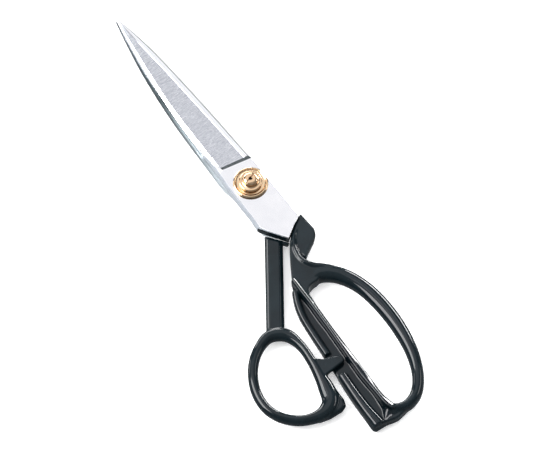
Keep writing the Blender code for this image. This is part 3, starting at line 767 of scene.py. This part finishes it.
def brass(name, tint, low, high):
    """Turned brass whose roughness runs from low to high."""
    m = Nodes(name, tint, 1.0, 0.2)
    rings = m.noise(m.place, 1500, 3)
    clouds = m.noise(m.place, 240, 3)
    darker = tuple(c * f for c, f in zip(tint, (0.90, 0.84, 0.76)))
    m.link(m.colours(clouds, ((0.3, darker), (0.7, tint))), "Base Color")
    m.link(m.ranged(rings, low, high), "Roughness")
    m.bump(rings, 0.05, 0.00002)
    return m.material


def bolt_steel():
    """Turned steel, painted near-black where the thread goes up into the nut: painted shade for the dark
    inside of the hole in the nut's cap.
    """
    m = Nodes("turned_bolt_steel", (0.36, 0.36, 0.37), 1.0, 0.34)
    grain = m.noise(m.place, 1300, 4)
    # painted shade: the colour turns near-black from about 9 mm up
    shade = m.math("ADD", m.ranged(m.along("Z"), 0.0, 0.8, 0.0085, 0.0090), m.ranged(grain, 0.0, 0.2))
    tones = ((0.0, (0.28, 0.28, 0.29)), (0.2, (0.44, 0.44, 0.45)), (0.7, (0.012, 0.01, 0.009)))
    m.link(m.colours(shade, tones), "Base Color")
    m.link(m.ranged(grain, 0.26, 0.44), "Roughness")
    m.bump(grain, 0.1, 0.00003)
    return m.material


# ---------------------------------------------------------------- the pieces

def hand_over(piece, body, node):
    """Fixes a finished piece to its body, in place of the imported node."""
    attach(piece, body)
    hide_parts(node)


def one_look(piece, look):
    piece.data.materials.clear()
    piece.data.materials.append(look)


def finish_blade(parts, looks, hole, body, node, front):
    """Paints a blade, then cuts its pivot hole."""
    piece, ring_size, ys = parts
    for finish in sorted(looks):
        piece.data.materials.append(looks[finish])
    paint_blade(piece, ring_size, ys, front)
    combine(piece, [hole], "DIFFERENCE")
    smooth_by_angle(piece)
    hand_over(piece, body, node)


def build():
    black = enamel()
    looks = {
        POLISHED: polished_steel("polished_blade_steel", 0.15),
        PANEL: satin_steel("satin_ground_panel", 1.0),
        ENAMEL: black,
        PLUNGE_SHADE: plunge_shade(),
        REAR_SPINE: rear_spine_painted_shade(),
        DULL_EDGE: dull_steel("dull_forged_edge", (0.28, 0.30, 0.33)),
        DULL_SPINE: dull_steel("dull_spine_edge", (0.19, 0.20, 0.21)),
        BRUSHED: polished_steel("brushed_blade_steel", 0.34),
        MATING: satin_steel("satin_mating_face", 0.85),
    }
    round_hole = drum("hole", SHANK_R + CLEARANCE, 0, ABOVE_ALL)
    finish_blade(front_blade(), looks, round_hole, "thumb_half", "thumb_blade", True)
    square = (-SQUARE_HALF, SQUARE_HALF)
    square_hole = block("hole", square, square, (0, ABOVE_ALL))
    finish_blade(rear_blade(), looks, square_hole, "finger_half", "finger_blade", False)
    for handle, body, node in ((thumb_handle(), "thumb_half", "thumb_handle"),
                               (finger_handle(), "finger_half", "finger_handle")):
        one_look(handle, black)
        hand_over(handle, body, node)
    for piece, look, body, node in (
            (washer(), brass("rolled_brass", (0.86, 0.65, 0.44), 0.10, 0.2), "finger_half", "pivot_washer"),
            (nut(), brass("turned_brass", (0.85, 0.60, 0.39), 0.08, 0.18), "nut", "tension_nut")):
        smooth_by_angle(piece)
        one_look(piece, look)
        hand_over(piece, body, node)
    one_look(frame["nodes"]["pivot_bolt"], bolt_steel())


# ---------------------------------------------------------------- stage

VIEW_TURN, VIEW_RISE = math.radians(34.7), math.radians(60)
VIEW_WIDTH = 0.2414  # of the picture, at the table
CAMERA_DISTANCE = 5.0
SENSOR_WIDTH = 36  # millimetres, as Blender takes it
AIM = Vector((-0.00207, -0.0182, 0.0))
FLOOR_HALF = 6000  # millimetres
FLOOR_GLOW = 0.35  # the paper lies on a light table, which keeps its shadows faint
PICTURE_RIGHT = Vector((math.cos(VIEW_TURN), -math.sin(VIEW_TURN), 0))
TO_CAMERA = Vector((-math.sin(VIEW_TURN) * math.cos(VIEW_RISE), -math.cos(VIEW_TURN) * math.cos(VIEW_RISE),
                    math.sin(VIEW_RISE)))


def camera():
    data = bpy.data.cameras.new("camera")
    data.sensor_width = SENSOR_WIDTH
    data.lens = SENSOR_WIDTH * CAMERA_DISTANCE / VIEW_WIDTH
    data.clip_end = 20
    made = bpy.data.objects.new("camera", data)
    bpy.context.scene.collection.objects.link(made)
    made.matrix_world = Matrix.Translation(AIM + TO_CAMERA * CAMERA_DISTANCE) @ Matrix((
        PICTURE_RIGHT, TO_CAMERA.cross(PICTURE_RIGHT), TO_CAMERA)).transposed().to_4x4()
    bpy.context.scene.camera = made


def softbox(name, direction, distance, size, radiance, colour=(1, 1, 1), glossy=True):
    """A soft light that faces the object from a direction; radiance 1 is as bright as a lit white wall."""
    data = bpy.data.lights.new(name, "AREA")
    data.shape = "RECTANGLE"
    data.size, data.size_y = size
    data.energy = radiance * math.pi * size[0] * size[1]
    data.color = colour
    made = bpy.data.objects.new(name, data)
    bpy.context.scene.collection.objects.link(made)
    way = Vector(direction).normalized()
    made.location = AIM + way * distance
    made.rotation_mode = "QUATERNION"
    made.rotation_quaternion = way.to_track_quat("Z", "Y")
    made.visible_camera = False
    made.visible_glossy = glossy


def stage():
    """White paper on the table, which is seen from above only."""
    material = bpy.data.materials.new("paper_floor")
    material.use_nodes = True
    tree = material.node_tree
    shader = tree.nodes["Principled BSDF"]
    shader.inputs["Base Color"].default_value = (0.93, 0.93, 0.93, 1)
    shader.inputs["Roughness"].default_value = 0.9
    shader.inputs["Specular IOR Level"].default_value = 0.0
    shader.inputs["Emission Color"].default_value = (1, 1, 1, 1)
    shader.inputs["Emission Strength"].default_value = FLOOR_GLOW
    # Seen from underneath, the paper lets the view through
    facing = tree.nodes.new("ShaderNodeNewGeometry").outputs["Backfacing"]
    clear = tree.nodes.new("ShaderNodeBsdfTransparent").outputs["BSDF"]
    mix = tree.nodes.new("ShaderNodeMixShader")
    tree.links.new(facing, mix.inputs["Fac"])
    tree.links.new(shader.outputs["BSDF"], mix.inputs[1])
    tree.links.new(clear, mix.inputs[2])
    tree.links.new(mix.outputs["Shader"], tree.nodes["Material Output"].inputs["Surface"])
    half = FLOOR_HALF
    floor = new_object("floor", [(-half, -half, 0), (half, -half, 0), (half, half, 0), (-half, half, 0)],
                       [(0, 1, 2, 3)])
    floor.data.materials.append(material)
    floor.visible_glossy = False


def world():
    """A dim room, lighter above and below than at its walls, with a white backdrop all round."""
    made = bpy.data.worlds.new("studio")
    bpy.context.scene.world = made
    made.use_nodes = True
    tree = made.node_tree
    shade = tree.nodes["Background"]
    split = tree.nodes.new("ShaderNodeSeparateXYZ")
    tree.links.new(tree.nodes.new("ShaderNodeTexCoord").outputs["Generated"], split.inputs["Vector"])
    ramp = tree.nodes.new("ShaderNodeValToRGB")
    steps = ((0.0, 0.36), (0.06, 0.18), (0.30, 0.18), (0.60, 0.24), (1.0, 0.40))
    fill_ramp(ramp.color_ramp, [(at, (light * 0.97, light, light * 1.03)) for at, light in steps])
    tree.links.new(split.outputs["Z"], ramp.inputs["Fac"])
    tree.links.new(ramp.outputs["Color"], shade.inputs["Color"])
    backdrop = tree.nodes.new("ShaderNodeBackground")
    backdrop.inputs["Color"].default_value = (0.96, 0.96, 0.96, 1)
    mix = tree.nodes.new("ShaderNodeMixShader")
    tree.links.new(tree.nodes.new("ShaderNodeLightPath").outputs["Is Camera Ray"], mix.inputs["Fac"])
    tree.links.new(shade.outputs["Background"], mix.inputs[1])
    tree.links.new(backdrop.outputs["Background"], mix.inputs[2])
    tree.links.new(mix.outputs["Shader"], tree.nodes["World Output"].inputs["Surface"])


def lights():
    softbox("overhead", (0.30, 0.50, 0.83), 1.1, (0.7, 0.9), 0.70, (0.99, 0.98, 1.0))
    softbox("overhead_left", (-0.13, 0.45, 0.89), 1.15, (0.34, 0.8), 1.2)
    softbox("left_wall", (-0.58, 0.41, 0.70), 1.0, (0.7, 0.6), 10)
    softbox("back_strip", (0.25, 0.95, 0.22), 1.0, (0.8, 0.16), 16)
    softbox("back_left_strip", (-0.44, 0.88, 0.12), 1.0, (0.22, 0.22), 5)
    softbox("right_strip", (0.88, 0.40, 0.28), 1.0, (0.5, 0.13), 40)
    softbox("front_strip", (0.80, -0.25, 0.50), 1.0, (0.5, 0.16), 6)
    softbox("fill", (0.0, 0.0, 1.0), 2.0, (4, 4), 1.3, glossy=False)


build()
camera()
stage()
world()
lights()
bpy.context.scene.view_settings.view_transform = "Standard"
